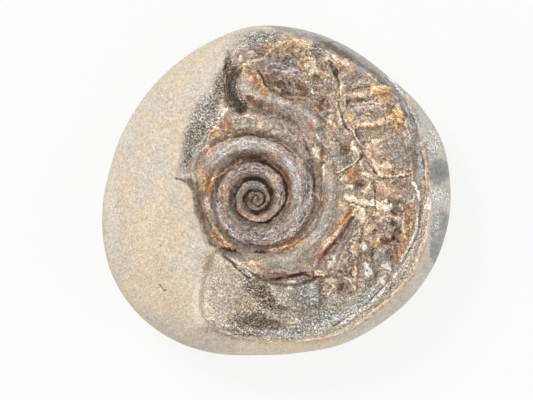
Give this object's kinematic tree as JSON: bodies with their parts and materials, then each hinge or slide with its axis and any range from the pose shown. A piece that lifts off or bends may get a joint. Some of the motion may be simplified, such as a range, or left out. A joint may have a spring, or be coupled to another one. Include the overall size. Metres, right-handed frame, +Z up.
{
  "type": "ammonite fossil",
  "caption": "Flat-coiled fossil shell lying exposed in the open top of a smooth, rounded limestone cobble that rests on its own flat underside.",
  "frame": {"origin": "centre of the bounding box, on the flat face that the cobble rests on", "axes": "+Z up out of the exposed fossil; +X along the longest width, from the bare stone on the left towards the outer whorl's keel; +Y towards the shell's open end"},
  "size_m": [0.105, 0.0993, 0.0421],
  "materials": {
    "limestone": "matte, fine-grained weathered stone",
    "fossil_shell": "brown mineralised shell, dull with satin patches"
  },
  "bodies": {
    "root": {"nodule": "limestone", "ammonite": "fossil_shell"}
  },
  "joints": []
}
